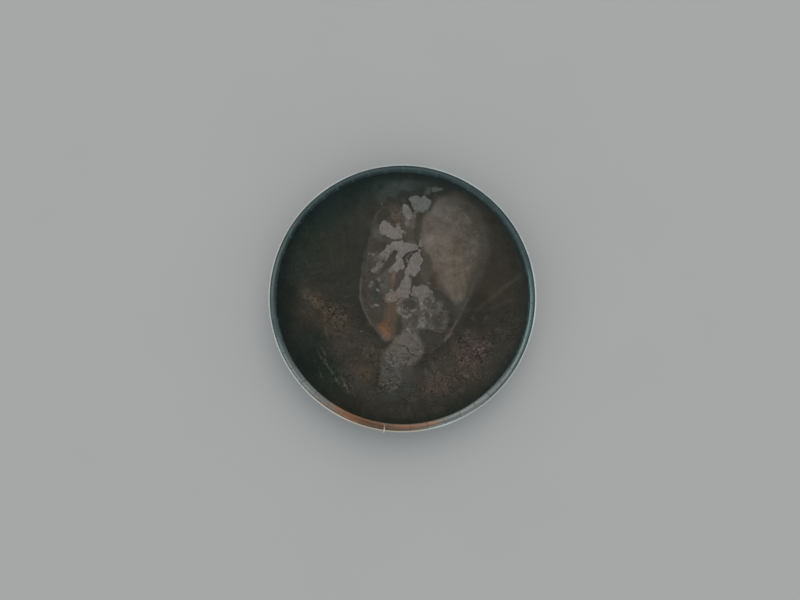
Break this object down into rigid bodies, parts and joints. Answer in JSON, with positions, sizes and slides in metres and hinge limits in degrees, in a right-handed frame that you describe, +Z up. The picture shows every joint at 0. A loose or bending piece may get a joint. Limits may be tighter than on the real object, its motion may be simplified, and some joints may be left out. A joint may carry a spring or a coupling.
{
  "type": "open-topped slurry storage tank",
  "caption": "Open-topped round store for liquid manure: lapped steel sheet wall on a base angle, flat rim, concrete floor, and a fill pipe over the rim.",
  "frame": {"origin": "centre of the floor slab's underside, on the level ground that the tank stands on", "axes": "+Z up; +X to the right and +Y to the top of the reference picture, which looks straight down; node names call +Y north"},
  "size_m": [38.533, 38.7644, 5.96],
  "materials": {
    "wall_sheet": "satin",
    "rim_steel": "matte",
    "galvanised_steel": "matte",
    "concrete": "matte",
    "pipe_steel": "satin",
    "slurry": "matte",
    "sealant": "matte"
  },
  "bodies": {
    "root": {"floor_slab": "concrete", "wall_course_1_north_east": "wall_sheet", "wall_course_1_north_west": "wall_sheet", "wall_course_1_south_west": "wall_sheet", "wall_course_1_south_east": "wall_sheet", "wall_course_2_north_east": "wall_sheet", "wall_course_2_north_west": "wall_sheet", "wall_course_2_south_west": "wall_sheet", "wall_course_2_south_east": "wall_sheet", "wall_course_3_north_east": "wall_sheet", "wall_course_3_north_west": "wall_sheet", "wall_course_3_south_west": "wall_sheet", "wall_course_3_south_east": "wall_sheet", "wall_course_4_north_east": "wall_sheet", "wall_course_4_north_west": "wall_sheet", "wall_course_4_south_west": "wall_sheet", "wall_course_4_south_east": "wall_sheet", "top_rim_north_east": "rim_steel", "top_rim_north_west": "rim_steel", "top_rim_south_west": "rim_steel", "top_rim_south_east": "rim_steel", "wind_stiffener_north_east": "galvanised_steel", "wind_stiffener_north_west": "galvanised_steel", "wind_stiffener_south_west": "galvanised_steel", "wind_stiffener_south_east": "galvanised_steel", "base_angle_north_east": "galvanised_steel", "base_angle_north_west": "galvanised_steel", "base_angle_south_west": "galvanised_steel", "base_angle_south_east": "galvanised_steel", "fill_pipe_riser": "pipe_steel", "fill_pipe_top_bend": "pipe_steel", "fill_pipe_drop": "pipe_steel", "fill_pipe_inlet_elbow": "pipe_steel", "fill_pipe_inlet_flange": "galvanised_steel", "fill_pipe_bracket_lower": "galvanised_steel", "fill_pipe_bracket_upper": "galvanised_steel", "fill_pipe_bracket_inside": "galvanised_steel"}
  },
  "joints": []
}
